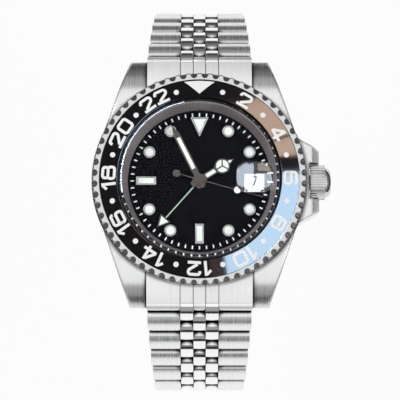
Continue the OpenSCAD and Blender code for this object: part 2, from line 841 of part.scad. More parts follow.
module clasp_blade_2() {
  fold_z = clasp_height(clasp_r - 2.5, blade_fold_y);
  end_y = 1.3 - strand_end.x;
  color("silver") union() {
    along_x(-blade_half_w, blade_half_w)
      clasp_arc(inner_blade_r[0], inner_blade_r[1], end_y, blade_fold_y - 1.2);
    for (s = [-1, 1])
      along_x(s > 0 ? fold_half_w + 0.1 : -blade_half_w, s > 0 ? blade_half_w : -fold_half_w - 0.1)
        union() {
          clasp_arc(inner_blade_r[0], inner_blade_r[1], blade_fold_y - 2, blade_fold_y);
          translate([blade_fold_y, fold_z]) circle(r = blade_end_r, $fn = 32);
        }
    bar_x(fold_pin_r, -fold_half_w - 1.6, fold_half_w + 1.6, blade_fold_y, fold_z);
    // Knuckles and pin that take the 6 o'clock strand
    along_x(-blade_half_w, blade_half_w)
      translate([end_y, clasp_height(clasp_r, clasp_end)]) square([0.7, 3.2]);
    for (s = [-1, 1]) along_x(s > 0 ? inner_from : -inner_from - inner_w,
                              s > 0 ? inner_from + inner_w : -inner_from) union() {
      translate([-strand_end.x, strand_end.y]) circle(r = link_end_r, $fn = 48);
      translate([-strand_end.x, strand_end.y - 0.6]) square([1.9, 1.6]);
    }
    bar_x(pin_r, 0.4 - last_half_w, last_half_w - 0.4, -strand_end.x, strand_end.y);
  }
}

mid_case();
case_back();
case_back_gasket();
crystal();
date_magnifier();
crystal_gasket();
rehaut_ring();
dial();
hour_markers();
marker_lume();
movement_ring();
main_plate();
train_bridge();
balance_cock();
spring_bars();
end_link_12();
end_link_06();
bezel_spring();
bezel_ring();
bezel_insert();
winding_stem();
crown();
seconds_hand();
minute_hand();
hour_hand();
gmt_hand();
fourth_wheel();
centre_wheel();
hour_wheel();
gmt_wheel();
third_wheel();
mainspring_barrel();
escape_wheel();
pallet_fork();
balance_wheel();
winding_rotor();
date_ring();
link(1, 1);  // link_12_01
link(1, 2);  // link_12_02
link(1, 3);  // link_12_03
link(1, 4);  // link_12_04
link(1, 5);  // link_12_05
link(1, 6);  // link_12_06
link(1, 7);  // link_12_07
link(1, 8);  // link_12_08
link(1, 9);  // link_12_09
link(1, 10);  // link_12_10
link(-1, 1);  // link_06_01
link(-1, 2);  // link_06_02
link(-1, 3);  // link_06_03
link(-1, 4);  // link_06_04
link(-1, 5);  // link_06_05
link(-1, 6);  // link_06_06
link(-1, 7);  // link_06_07
link(-1, 8);  // link_06_08
link(-1, 9);  // link_06_09
link(-1, 10);  // link_06_10
clasp_cover();
clasp_blade_1();
clasp_blade_2();
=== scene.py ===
"""Finishes, printing, lume and studio for a steel wristwatch with a 24-hour bezel."""
import json
import math

import bmesh
import bpy
from mathutils import Matrix, Vector

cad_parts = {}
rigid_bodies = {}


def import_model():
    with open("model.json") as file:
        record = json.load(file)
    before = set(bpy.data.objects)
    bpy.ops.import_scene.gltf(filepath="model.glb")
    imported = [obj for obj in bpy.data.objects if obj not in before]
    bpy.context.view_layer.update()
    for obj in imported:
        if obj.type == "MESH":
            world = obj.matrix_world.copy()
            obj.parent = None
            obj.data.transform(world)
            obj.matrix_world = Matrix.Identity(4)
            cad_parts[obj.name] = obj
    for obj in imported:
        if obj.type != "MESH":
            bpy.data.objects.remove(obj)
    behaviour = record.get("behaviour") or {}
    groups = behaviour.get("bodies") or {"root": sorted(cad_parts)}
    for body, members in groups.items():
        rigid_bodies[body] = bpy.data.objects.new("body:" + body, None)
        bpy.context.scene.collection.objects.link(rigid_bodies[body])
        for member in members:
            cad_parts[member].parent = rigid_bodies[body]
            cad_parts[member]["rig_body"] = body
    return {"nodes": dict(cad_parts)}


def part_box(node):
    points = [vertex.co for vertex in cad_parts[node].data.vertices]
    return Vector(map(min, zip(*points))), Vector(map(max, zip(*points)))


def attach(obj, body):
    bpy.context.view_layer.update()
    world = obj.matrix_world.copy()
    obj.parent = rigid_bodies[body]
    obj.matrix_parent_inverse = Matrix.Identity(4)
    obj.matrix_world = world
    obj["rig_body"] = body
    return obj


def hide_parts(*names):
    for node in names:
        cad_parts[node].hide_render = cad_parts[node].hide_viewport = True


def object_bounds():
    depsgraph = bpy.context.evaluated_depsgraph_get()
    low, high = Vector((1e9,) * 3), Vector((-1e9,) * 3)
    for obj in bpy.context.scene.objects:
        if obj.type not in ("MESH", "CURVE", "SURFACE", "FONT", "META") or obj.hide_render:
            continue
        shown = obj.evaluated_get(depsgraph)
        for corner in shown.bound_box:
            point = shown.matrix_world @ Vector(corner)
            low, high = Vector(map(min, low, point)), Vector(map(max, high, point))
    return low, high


MM = 0.001

# Bezel printing
NUMERAL_W = 2.7
NUMERAL_H = 2.2
NUMERAL_PEN = 0.54
NUMERAL_CORNER = 0.45
NUMERAL_STEP = 3.05
NUMERAL_WAIST = 0.1
NARROW_STEP = 1.95
NUMERAL_AT = 17.05
NUMERAL_LIFT = 0.03
BEZEL_DOT_R = 0.5
BEZEL_DOT_AT = 16.85
TRIANGLE_HALF_W = 2.9
TRIANGLE_HIGH = 2.55
TRIANGLE_RIM = 18.55

# The bezel insert's face: its height at the rim, and where its inner shoulder lies
INSERT_RIM = 10.15
INSERT_SHOULDER = 15.45

# Dial printing
TICK_FROM = 12.4
TICK_TO = 13.05
TICK_W = 0.25
PRINT_LIFT = 0.02

# Hands, as clock angles at rest
HOUR_DEG = 57.8
MINUTE_DEG = 333.4
SECONDS_DEG = 105.5
GMT_DEG = 221.7

# Lume and paint on the hands: half width, start and end of each bar and tip along the hand
LUME_DEPTH = 0.08
LUME_RISE = 0.02
MINUTE_BAR = (0.35, 2.4, 9)
HOUR_BAR = (0.34, 1.52, 3.48)
HOUR_TIP = (0.28, 6.52, 7.26)
HOUR_DISC_AT = 5.1
HOUR_DISC_R = 1.18
SPOKE = (0.13, 0, 1.2)
SPOKE_RISE = 0.05
SPOKE_TURNS = (60, 180, 300)
SECONDS_DISC_AT = 7.4
SECONDS_DISC_R = 0.6
SECONDS_DISC_RISE = 0.03
GMT_TIP = (0.83, 9.82, 11.46)
GMT_TIP_DEPTH = 0.05
GMT_STEM = (0.09, 1.45, 9.58)

# Cap on the hands' axis
CAP_R = 0.62
CAP_HIGH = 0.16
CAP_ROUND = 0.1

# Date figures
DATE_SHOWN = 7
DATE_COUNT = 31
DATE_AT = 10.4
DATE_SIZE = 2.45
DATE_PRINT = 0.01

# Camera
CAMERA_ELEVATION = 82
CAMERA_DISTANCE = 330
CAMERA_AIM = (0.1, -3.6, 6.3)
CAMERA_LENS = 157
SENSOR = 36

# Edge softening of the machined pieces
WELD = 2e-6
COPLANAR = math.radians(0.4)
SHARP = math.radians(24)

# Width of the worn edge on the case
CASE_EDGE = 0.8

# How near another surface darkens steel as painted shade, in millimetres, the colour of that
# painted shade in a gap, and how open the place is where that darkening is full and where it ends
CREVICE = 1.2
GAP_SHADE_COLOUR = (0.01, 0.01, 0.011)
GAP_CLOSED = 0.55
GAP_OPEN = 0.96

# How far the crystal's bevel leans, as the least and most upright normal
BEVEL_LEAN = (0.2, 0.95)

# The finest seam that the printing's shapes may keep, in millimetres
SEAM = 0.0005


def clear_scene():
    """Takes away what a new file holds."""
    for thing in list(bpy.data.objects):
        bpy.data.objects.remove(thing)


clear_scene()
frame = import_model()
cad_low, cad_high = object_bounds()


# Node helpers


def start_finish(name):
    """An empty node material with its shader and output."""
    finish = bpy.data.materials.new(name)
    finish.use_nodes = True
    tree = finish.node_tree
    tree.nodes.clear()
    output = tree.nodes.new("ShaderNodeOutputMaterial")
    shader = tree.nodes.new("ShaderNodeBsdfPrincipled")
    tree.links.new(shader.outputs["BSDF"], output.inputs["Surface"])
    return finish, tree, shader


def object_place(tree, scale=(1, 1, 1), turn=(0, 0, 0)):
    """Object coordinates in millimetres, stretched by a Mapping node."""
    place = tree.nodes.new("ShaderNodeTexCoord")
    mapping = tree.nodes.new("ShaderNodeMapping")
    mapping.inputs["Scale"].default_value = [s / MM for s in scale]
    mapping.inputs["Rotation"].default_value = turn
    tree.links.new(place.outputs["Object"], mapping.inputs["Vector"])
    return mapping.outputs["Vector"]


def noise(tree, vector, scale, detail):
    """A noise pattern over a place."""
    node = tree.nodes.new("ShaderNodeTexNoise")
    node.inputs["Scale"].default_value = scale
    node.inputs["Detail"].default_value = detail
    tree.links.new(vector, node.inputs["Vector"])
    return node.outputs["Fac"]


def remap(tree, value, low, high, from_low=0.3, from_high=0.7):
    """Stretches a value; noise mostly lies in the range that it takes unless told."""
    node = tree.nodes.new("ShaderNodeMapRange")
    node.inputs["From Min"].default_value = from_low
    node.inputs["From Max"].default_value = from_high
    node.inputs["To Min"].default_value = low
    node.inputs["To Max"].default_value = high
    tree.links.new(value, node.inputs["Value"])
    return node.outputs["Result"]


def math_node(tree, kind, first, second=None):
    """One sum on numbers or sockets."""
    node = tree.nodes.new("ShaderNodeMath")
    node.operation = kind
    for socket, value in zip(node.inputs, (first, second)):
        if value is None:
            continue
        if isinstance(value, (int, float)):
            socket.default_value = value
        else:
            tree.links.new(value, socket)
    return node.outputs["Value"]


def blend_colour(tree, share, first, second):
    """Mixes two colours, each a plain colour or a socket."""
    node = tree.nodes.new("ShaderNodeMix")
    node.data_type = "RGBA"
    for socket, colour in ((node.inputs["A"], first), (node.inputs["B"], second)):
        if isinstance(colour, tuple):
            socket.default_value = (*colour, 1)
        else:
            tree.links.new(colour, socket)
    tree.links.new(share, node.inputs["Factor"])
    return node.outputs["Result"]


def blend_value(tree, share, first, second):
    """Mixes two values, each a number or a socket."""
    node = tree.nodes.new("ShaderNodeMix")
    for socket, value in ((node.inputs["A"], first), (node.inputs["B"], second)):
        if isinstance(value, (int, float)):
            socket.default_value = value
        else:
            tree.links.new(value, socket)
    tree.links.new(share, node.inputs["Factor"])
    return node.outputs["Result"]


def split(tree, vector):
    """The three parts of a vector."""
    node = tree.nodes.new("ShaderNodeSeparateXYZ")
    tree.links.new(vector, node.inputs["Vector"])
    return node.outputs


def face_lean(tree):
    """Which way a face points."""
    facing = tree.nodes.new("ShaderNodeNewGeometry")
    return split(tree, facing.outputs["Normal"])


def show_surface(tree, surface):
    """Lets a shader reach the material's output."""
    output = next(n for n in tree.nodes if n.type == "OUTPUT_MATERIAL")
    tree.links.new(surface, output.inputs["Surface"])


def add_bump(tree, shader, height, distance, strength, round_edge=0):
    """Bump from a height; round_edge also lets the light turn over an edge, in millimetres."""
    node = tree.nodes.new("ShaderNodeBump")
    if round_edge:
        edge = tree.nodes.new("ShaderNodeBevel")
        edge.inputs["Radius"].default_value = round_edge * MM
        tree.links.new(edge.outputs["Normal"], node.inputs["Normal"])
    node.inputs["Strength"].default_value = strength
    node.inputs["Distance"].default_value = distance * MM
    tree.links.new(height, node.inputs["Height"])
    tree.links.new(node.outputs["Normal"], shader.inputs["Normal"])


# Finishes


def worn_by_depth(tree, shader, colour):
    """Lets a colour reach the shader, darkened in narrow gaps as painted shade."""
    depth = tree.nodes.new("ShaderNodeAmbientOcclusion")
    depth.inputs["Distance"].default_value = CREVICE * MM
    unshaded = remap(tree, depth.outputs["AO"], 0.02, 1, GAP_CLOSED, GAP_OPEN)
    tree.links.new(blend_colour(tree, unshaded, GAP_SHADE_COLOUR, colour), shader.inputs["Base Color"])


def brushed_steel(name, lines, dark, light, rough=(0.24, 0.42)):
    """Steel brushed in one direction; lines stretches the grain, in strokes per millimetre."""
    finish, tree, shader = start_finish(name)
    grain = noise(tree, object_place(tree, lines), 1.0, 5)
    # The colour gets painted shade in narrow gaps.
    worn_by_depth(tree, shader, blend_colour(tree, remap(tree, grain, 0, 1), dark, light))
    tree.links.new(remap(tree, grain, *rough), shader.inputs["Roughness"])
    add_bump(tree, shader, grain, 0.004, 0.12)
    shader.inputs["Metallic"].default_value = 1
    return finish


def polished_steel(name, colour, rough=0.09):
    """Mirror steel with a trace of handling marks."""
    finish, tree, shader = start_finish(name)
    marks = noise(tree, object_place(tree), 0.6, 6)
    tree.links.new(remap(tree, marks, rough * 0.7, rough * 1.6), shader.inputs["Roughness"])
    dim = tuple(0.94 * c for c in colour)
    tree.links.new(
        blend_colour(tree, remap(tree, marks, 0, 1), dim, colour), shader.inputs["Base Color"]
    )
    shader.inputs["Metallic"].default_value = 1
    return finish


def link_steel(name, outer_from):
    """Brushed outer pieces and polished inner pieces, told apart by their place across the strand."""
    finish, tree, shader = start_finish(name)
    side = math_node(tree, "ABSOLUTE", split(tree, object_place(tree))["X"])
    outer = math_node(tree, "GREATER_THAN", side, outer_from)
    grain = noise(tree, object_place(tree, (12, 0.12, 0.12)), 1.0, 5)
    streaks = remap(tree, grain, 0, 1)
    brushed = blend_colour(tree, streaks, (0.8, 0.805, 0.81), (0.95, 0.95, 0.955))
    # Both finishes get painted shade in narrow gaps.
    worn_by_depth(tree, shader, blend_colour(tree, outer, (0.95, 0.95, 0.95), brushed))
    rough = blend_value(tree, outer, 0.1, remap(tree, grain, 0.22, 0.4))
    tree.links.new(rough, shader.inputs["Roughness"])
    height = math_node(tree, "MULTIPLY", grain, outer)
    add_bump(tree, shader, height, 0.004, 0.12)
    shader.inputs["Metallic"].default_value = 1
    return finish


def case_steel(name):
    """Tops brushed lengthwise, flanks polished, told apart by how far the face leans."""
    finish, tree, shader = start_finish(name)
    lean = face_lean(tree)
    flank = math_node(tree, "LESS_THAN", math_node(tree, "ABSOLUTE", lean["Z"]), 0.35)
    sideways = math_node(tree, "GREATER_THAN", math_node(tree, "ABSOLUTE", lean["X"]), 0.6)
    polished = math_node(tree, "MULTIPLY", flank, sideways)
    grain = noise(tree, object_place(tree, (13, 0.12, 0.12)), 1.0, 5)
    brushed = blend_colour(tree, remap(tree, grain, 0, 1), (0.74, 0.745, 0.75), (0.88, 0.88, 0.885))
    # Brushed tops and polished flanks get painted shade in narrow gaps.
    worn_by_depth(tree, shader, blend_colour(tree, polished, brushed, (0.85, 0.85, 0.85)))
    rough = blend_value(tree, polished, remap(tree, grain, 0.16, 0.28), 0.1)
    tree.links.new(rough, shader.inputs["Roughness"])
    add_bump(tree, shader, grain, 0.004, 0.12, CASE_EDGE)
    shader.inputs["Metallic"].default_value = 1
    return finish


def fluted_steel(name, flat_colour, shaded_flute_colour):
    """Polished on the flat top, satin in the flutes and down the side, whose darker colour is painted
    shade.
    """
    finish, tree, shader = start_finish(name)
    flat = math_node(tree, "GREATER_THAN", face_lean(tree)["Z"], 0.9)
    tree.links.new(blend_colour(tree, flat, shaded_flute_colour, flat_colour), shader.inputs["Base Color"])
    marks = noise(tree, object_place(tree), 2.5, 5)
    satin = remap(tree, marks, 0.2, 0.34)
    tree.links.new(blend_value(tree, flat, satin, 0.1), shader.inputs["Roughness"])
    shader.inputs["Metallic"].default_value = 1
    return finish


def radial_steel(name, dark, light):
    """Steel brushed along the radius, as on the inner flange."""
    finish, tree, shader = start_finish(name)
    place = split(tree, object_place(tree))
    turn = math_node(tree, "ARCTAN2", place["Y"], place["X"])
    spoke = tree.nodes.new("ShaderNodeCombineXYZ")
    tree.links.new(math_node(tree, "MULTIPLY", turn, 60), spoke.inputs["X"])
    grain = noise(tree, spoke.outputs["Vector"], 1.0, 4)
    tree.links.new(
        blend_colour(tree, remap(tree, grain, 0, 1), dark, light), shader.inputs["Base Color"]
    )
    tree.links.new(remap(tree, grain, 0.38, 0.5), shader.inputs["Roughness"])
    shader.inputs["Metallic"].default_value = 0.75
    return finish


def gloss_black(name, colour, rough, shine):
    """Deep gloss black with the faintest cloud in its sheen."""
    finish, tree, shader = start_finish(name)
    cloud = noise(tree, object_place(tree), 0.35, 4)
    lifted = tuple(1.5 * c for c in colour)
    tree.links.new(
        blend_colour(tree, remap(tree, cloud, 0, 1), colour, lifted), shader.inputs["Base Color"]
    )
    tree.links.new(remap(tree, cloud, rough * 0.8, rough * 1.3), shader.inputs["Roughness"])
    shader.inputs["Specular IOR Level"].default_value = shine
    return finish


def matte_paint(name, colour, rough=0.55, grain_size=9.0, grain=0.05):
    """Paint, lume or moulded plastic with a fine grain."""
    finish, tree, shader = start_finish(name)
    speck = noise(tree, object_place(tree), grain_size, 4)
    low = tuple(c * (1 - grain) for c in colour)
    tree.links.new(
        blend_colour(tree, remap(tree, speck, 0, 1), low, colour), shader.inputs["Base Color"]
    )
    tree.links.new(remap(tree, speck, rough * 0.85, rough * 1.15), shader.inputs["Roughness"])
    add_bump(tree, shader, speck, 0.01, 0.25)
    return finish


def clear_sapphire(name, bend):
    """Glass that lets the lamps through to the dial; bend is its refractive index."""
    finish, tree, shader = start_finish(name)
    shader.inputs["Base Color"].default_value = (0.97, 0.985, 1, 1)
    shader.inputs["Roughness"].default_value = 0.0
    shader.inputs["IOR"].default_value = bend
    shader.inputs["Transmission Weight"].default_value = 1
    path = tree.nodes.new("ShaderNodeLightPath")
    through = tree.nodes.new("ShaderNodeBsdfTransparent")
    either = tree.nodes.new("ShaderNodeMixShader")
    tree.links.new(path.outputs["Is Shadow Ray"], either.inputs["Fac"])
    tree.links.new(shader.outputs["BSDF"], either.inputs[1])
    tree.links.new(through.outputs["BSDF"], either.inputs[2])
    show_surface(tree, either.outputs["Shader"])
    return finish


def striped_plate(name, dark, light):
    """Movement plates with the broad stripes of a finishing wheel."""
    finish, tree, shader = start_finish(name)
    wave = tree.nodes.new("ShaderNodeTexWave")
    wave.inputs["Scale"].default_value = 0.22
    wave.inputs["Distortion"].default_value = 0.3
    tree.links.new(object_place(tree, turn=(0, 0, 0.6)), wave.inputs["Vector"])
    tree.links.new(
        blend_colour(tree, wave.outputs["Fac"], dark, light), shader.inputs["Base Color"]
    )
    tree.links.new(remap(tree, wave.outputs["Fac"], 0.22, 0.4, 0, 1), shader.inputs["Roughness"])
    shader.inputs["Metallic"].default_value = 1
    return finish


# The inner pieces of a link end here, and its outer pieces begin
OUTER_FROM = 3.65

CASE_STEEL = case_steel("case_steel")
END_STEEL = brushed_steel(
    "end_steel", (12, 0.12, 0.12), (0.82, 0.82, 0.825), (0.92, 0.92, 0.92), (0.4, 0.55)
)
LINK_STEEL = link_steel("link_steel", OUTER_FROM)
CLASP_STEEL = brushed_steel("clasp_steel", (7, 0.12, 0.12), (0.55, 0.56, 0.57), (0.84, 0.84, 0.85))
POLISHED_STEEL = polished_steel("polished_steel", (0.86, 0.86, 0.86))
# The flutes' darker grey is painted shade in the notches and down the side.
RING_STEEL = fluted_steel("ring_steel", (0.7, 0.7, 0.7), (0.36, 0.36, 0.36))
# The hands' steel is painted near black, standing for the dark reflection that polished hands show.
HAND_STEEL = polished_steel("hand_steel", (0.13, 0.115, 0.11), 0.12)
MARKER_STEEL = polished_steel("marker_steel", (0.5, 0.49, 0.48), 0.15)
CROWN_STEEL = polished_steel("crown_steel", (0.7, 0.7, 0.7), 0.1)
FLANGE_STEEL = radial_steel("flange_steel", (0.28, 0.24, 0.24), (0.52, 0.46, 0.455))
BEZEL_CERAMIC = gloss_black("bezel_ceramic", (0.003, 0.0025, 0.004), 0.06, 0.08)
DIAL_BLACK = gloss_black("dial_black", (0.002, 0.002, 0.0035), 0.3, 0.03)
WHITE_PRINT = matte_paint("white_print", (0.95, 0.95, 0.94), 0.45, 12, 0.03)
LUME = matte_paint("lume", (0.86, 0.89, 0.83), 0.6, 10, 0.06)
GREEN_PAINT = matte_paint("green_paint", (0.38, 0.58, 0.4), 0.4, 12, 0.05)
DATE_WHITE = matte_paint("date_white", (0.9, 0.9, 0.88), 0.5, 14, 0.04)
DATE_BLACK = matte_paint("date_black", (0.015, 0.015, 0.018), 0.4, 14, 0.2)
GASKET_RUBBER = matte_paint("gasket_rubber", (0.03, 0.03, 0.032), 0.7, 16, 0.3)
NYLON = matte_paint("nylon", (0.75, 0.75, 0.72), 0.5, 8, 0.05)
COATED_SAPPHIRE = clear_sapphire("coated_sapphire", 1.09)
LENS_SAPPHIRE = clear_sapphire("lens_sapphire", 1.5)
EDGE_SAPPHIRE = clear_sapphire("edge_sapphire", 1.77)
MOVEMENT_BRASS = striped_plate("movement_brass", (0.68, 0.5, 0.22), (0.86, 0.68, 0.36))
MOVEMENT_STEEL = striped_plate("movement_steel", (0.5, 0.5, 0.51), (0.78, 0.78, 0.78))


# Machined pieces


def finish_mesh(bm, name, finish, body):
    """Makes a piece of a bmesh that is already in place, and lets it ride on a body."""
    mesh = bpy.data.meshes.new(name)
    bm.to_mesh(mesh)
    bm.free()
    mesh.materials.append(finish)
    piece = bpy.data.objects.new(name, mesh)
    bpy.context.scene.collection.objects.link(piece)
    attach(piece, body)
    return piece


def drawn_in(bm, share):
    """Draws each loose piece of a mesh in towards its own middle, across the dial."""
    waiting = set(bm.verts)
    while waiting:
        island = {waiting.pop()}
        edge = list(island)
        while edge:
            near = {e.other_vert(v) for v in edge for e in v.link_edges} - island
            island |= near
            edge = list(near)
        waiting -= island
        middle = sum((v.co for v in island), Vector()) / len(island)
        bmesh.ops.scale(
            bm, verts=list(island), vec=(share, share, 1), space=Matrix.Translation(-middle)
        )


def softened(node, finish, edge, share=1.0, chamfer=False):
    """A copy of a machined node with its sharp edges rounded or chamfered, standing for the node."""
    source = frame["nodes"][node]
    bm = bmesh.new()
    bm.from_mesh(source.data)
    bmesh.ops.remove_doubles(bm, verts=bm.verts, dist=WELD)
    bmesh.ops.dissolve_limit(bm, angle_limit=COPLANAR, verts=bm.verts, edges=bm.edges)
    if share < 1:
        drawn_in(bm, share)
    sharp = [e for e in bm.edges if e.is_manifold and e.calc_face_angle() > SHARP]
    for face in bm.faces:
        face.smooth = True
    broken = bmesh.ops.bevel(
        bm, geom=sharp, offset=edge * MM, offset_type="OFFSET", affect="EDGES",
        segments=1 if chamfer else 2, profile=0.5, material=-1, clamp_overlap=True,
    )
    for face in broken["faces"]:
        face.smooth = not chamfer
    piece = finish_mesh(bm, node + "_finish", finish, source["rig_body"])
    weights = piece.modifiers.new("face_weights", "WEIGHTED_NORMAL")
    weights.keep_sharp = True
    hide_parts(node)
    return piece


def uncoated_edge(piece, finish):
    """Gives the bevel round a coated crystal its bare finish."""
    piece.data.materials.append(finish)
    least, most = BEVEL_LEAN
    for face in piece.data.polygons:
        if least < face.normal.z < most:
            face.material_index = 1


# Finish and edge radius, in millimetres, of the pieces with softened edges
SOFT_EDGES = {
    "case_back": (CLASP_STEEL, 0.1),
    "end_link_12": (END_STEEL, 0.05),
    "end_link_06": (END_STEEL, 0.05),
    "bezel_insert": (BEZEL_CERAMIC, 0.05),
    "crown": (CROWN_STEEL, 0.06),
    "date_magnifier": (LENS_SAPPHIRE, 0.08),
    "hour_markers": (MARKER_STEEL, 0.04),
    "seconds_hand": (HAND_STEEL, 0.03),
    "minute_hand": (HAND_STEEL, 0.03),
    "hour_hand": (HAND_STEEL, 0.03),
    "gmt_hand": (HAND_STEEL, 0.03),
    "clasp_cover": (CLASP_STEEL, 0.15),
    "clasp_blade_1": (CLASP_STEEL, 0.08),
    "clasp_blade_2": (CLASP_STEEL, 0.08),
}

# Finish of the pieces that keep their machined edges
PLAIN_FINISH = {
    "bezel_ring": RING_STEEL,
    "case_back_gasket": GASKET_RUBBER,
    "crystal_gasket": GASKET_RUBBER,
    "rehaut_ring": FLANGE_STEEL,
    "dial": DIAL_BLACK,
    "movement_ring": NYLON,
    "main_plate": MOVEMENT_BRASS,
    "train_bridge": MOVEMENT_STEEL,
    "balance_cock": MOVEMENT_STEEL,
    "spring_bars": POLISHED_STEEL,
    "bezel_spring": POLISHED_STEEL,
    "winding_stem": POLISHED_STEEL,
    "fourth_wheel": MOVEMENT_BRASS,
    "centre_wheel": MOVEMENT_BRASS,
    "hour_wheel": MOVEMENT_BRASS,
    "gmt_wheel": MOVEMENT_BRASS,
    "third_wheel": MOVEMENT_BRASS,
    "mainspring_barrel": MOVEMENT_BRASS,
    "escape_wheel": MOVEMENT_BRASS,
    "pallet_fork": MOVEMENT_STEEL,
    "balance_wheel": MOVEMENT_BRASS,
    "winding_rotor": MOVEMENT_STEEL,
    "date_ring": DATE_WHITE,
}

for node, (finish, edge) in SOFT_EDGES.items():
    softened(node, finish, edge)
softened("mid_case", CASE_STEEL, 0.3, chamfer=True)
uncoated_edge(softened("crystal", COATED_SAPPHIRE, 0.04), EDGE_SAPPHIRE)
softened("marker_lume", LUME, 0.05, share=0.86)
for node in frame["nodes"]:
    if node.startswith("link_"):
        softened(node, LINK_STEEL, 0.12)
for node, finish in PLAIN_FINISH.items():
    mesh = frame["nodes"][node].data
    mesh.materials.clear()
    mesh.materials.append(finish)


# Printing and lume


def plate(bm, outline, low, high):
    """A flat plate with the given outline between two heights, in millimetres."""
    face = bm.faces.new([bm.verts.new((x, y, low)) for x, y in outline])
    grown = bmesh.ops.extrude_face_region(bm, geom=[face])
    top = [v for v in grown["geom"] if isinstance(v, bmesh.types.BMVert)]
    bmesh.ops.translate(bm, verts=top, vec=(0, 0, high - low))
    return list(face.verts) + top


def disc(bm, radius, centre, low, high, sides=32):
    """A round plate."""
    made = bmesh.ops.create_cone(
        bm, cap_ends=True, segments=sides, radius1=radius, radius2=radius, depth=high - low,
        matrix=Matrix.Translation((*centre, (low + high) / 2)),
    )
    return made["verts"]


def turn_clock(bm, verts, degrees):
    """Turns a shape drawn at 12 o'clock to a clock angle."""
    turn = Matrix.Rotation(-math.radians(degrees), 3, "Z")
    bmesh.ops.rotate(bm, verts=verts, cent=(0, 0, 0), matrix=turn)


def close_shape(bm):
    """Merges seams, turns faces outwards and goes from millimetres to metres."""
    bmesh.ops.remove_doubles(bm, verts=bm.verts, dist=SEAM)
    bmesh.ops.recalc_face_normals(bm, faces=bm.faces)
    bmesh.ops.scale(bm, verts=bm.verts, vec=(MM, MM, MM))


def bar(half_w, start, end):
    """Outline of a bar that points to 12 o'clock."""
    return [(-half_w, start), (half_w, start), (half_w, end), (-half_w, end)]


def tip(half_w, start, end):
    """Outline of a tip that points to 12 o'clock."""
    return [(-half_w, start), (half_w, start), (0, end)]


def top_of(node):
    """Height of a machined node's top, in millimetres."""
    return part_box(node)[1].z / MM


class Pen:
    """Draws a flat stroke of even width by runs and turns."""

    def __init__(self, bm, x, y, heading, width):
        self.bm = bm
        self.place = Vector((x, y, 0))
        self.heading = math.radians(heading)
        side = self.direction(math.pi / 2) * (width / 2)
        ends = [bm.verts.new(self.place + side), bm.verts.new(self.place - side)]
        self.edge = bm.edges.new(ends)

    def direction(self, turn=0.0):
        """The heading, turned by an angle."""
        angle = self.heading + turn
        return Vector((math.cos(angle), math.sin(angle), 0))

    def run(self, length):
        """Draws straight on."""
        grown = bmesh.ops.extrude_edge_only(self.bm, edges=[self.edge])
        verts = [v for v in grown["geom"] if isinstance(v, bmesh.types.BMVert)]
        self.edge = next(
            e for e in grown["geom"]
            if isinstance(e, bmesh.types.BMEdge) and all(v in verts for v in e.verts)
        )
        step = self.direction() * length
        bmesh.ops.translate(self.bm, verts=verts, vec=step)
        self.place += step
        return self

    def turn(self, degrees, radius):
        """Draws an arc, to the left for a positive angle."""
        angle = math.radians(degrees)
        left = 1 if degrees > 0 else -1
        centre = self.place + self.direction(left * math.pi / 2) * radius
        spun = bmesh.ops.spin(
            self.bm, geom=[self.edge], cent=centre, axis=(0, 0, 1), angle=angle, steps=5
        )
        self.edge = next(e for e in spun["geom_last"] if isinstance(e, bmesh.types.BMEdge))
        arm = self.place - centre
        self.place = centre + Matrix.Rotation(angle, 3, "Z") @ arm
        self.heading += angle
        return self


def figure(bm, sign):
    """One squarish bezel figure, drawn on its centre line round the origin."""
    w, h, c = NUMERAL_W - NUMERAL_PEN, NUMERAL_H, NUMERAL_CORNER
    half_w, half_h = w / 2, h / 2
    pen = NUMERAL_PEN
    if sign == "0":
        loop(bm, half_w, -half_h, half_h, c, pen)
    if sign == "1":
        Pen(bm, 0.35, -half_h - pen / 2, 90, pen).run(h + pen)
        Pen(bm, -0.6, half_h - 0.7, 45, pen * 0.9).run(0.75 * math.sqrt(2))
    if sign == "2":
        draw = Pen(bm, -half_w, half_h - c - 0.2, 90, pen)
        draw.run(0.2).turn(-90, c).run(w - 2 * c).turn(-90, c).run(0.06)
        slant = math.degrees(math.atan2(h - c - 0.5, w - 0.3))
        draw.turn(-(90 - slant), 0.5)
        fall = draw.place.y + half_h - 0.3
        draw.run(max(fall, 0.1) / math.sin(math.radians(slant)))
        Pen(bm, -half_w - 0.12, -half_h, 0, pen).run(w + 0.3)
    if sign == "4":
        Pen(bm, 0.22 * w, -half_h - pen / 2, 90, pen).run(h + pen)
        Pen(bm, -half_w - 0.1, -0.28 * h, 0, pen).run(w + 0.45)
        rise = math.degrees(math.atan2(h * 0.78, w * 0.62))
        Pen(bm, -half_w + 0.02, -0.28 * h, rise, pen).run(math.hypot(h * 0.78, w * 0.62))
    if sign in "68":
        loop(bm, half_w, -half_h, NUMERAL_WAIST, c * 0.9, pen)
    if sign == "8":
        loop(bm, half_w * 0.92, NUMERAL_WAIST, half_h, c * 0.9, pen)
    if sign == "6":
        draw = Pen(bm, -half_w, -half_h + c, 90, pen)
        draw.run(h - 2 * c).turn(-90, c).run(w - 2 * c).turn(-90, c * 0.8).run(0.12)


def loop(bm, half_w, low, high, corner, pen):
    """A closed ring with round corners between two heights."""
    corner = min(corner, (high - low) / 2 - 0.02, half_w)
    draw = Pen(bm, 0, low, 0, pen)
    for _ in range(2):
        draw.run(half_w - corner).turn(90, corner).run(high - low - 2 * corner)
        draw.turn(90, corner).run(half_w - corner)


# The insert's outer radius, and how far its face rises for each millimetre inwards
INSERT_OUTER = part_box("bezel_insert")[1].x / MM
INSERT_SLOPE = (top_of("bezel_insert") - INSERT_RIM) / (INSERT_OUTER - INSERT_SHOULDER)


def insert_height(radius):
    """Height of the insert's sloped face at a distance from the axis."""
    return INSERT_RIM + (INSERT_OUTER - radius) * INSERT_SLOPE


def add_mesh(bm, part):
    """Puts a finished part into a larger bmesh."""
    held = bpy.data.meshes.new("part")
    part.to_mesh(held)
    part.free()
    bm.from_mesh(held)
    bpy.data.meshes.remove(held)


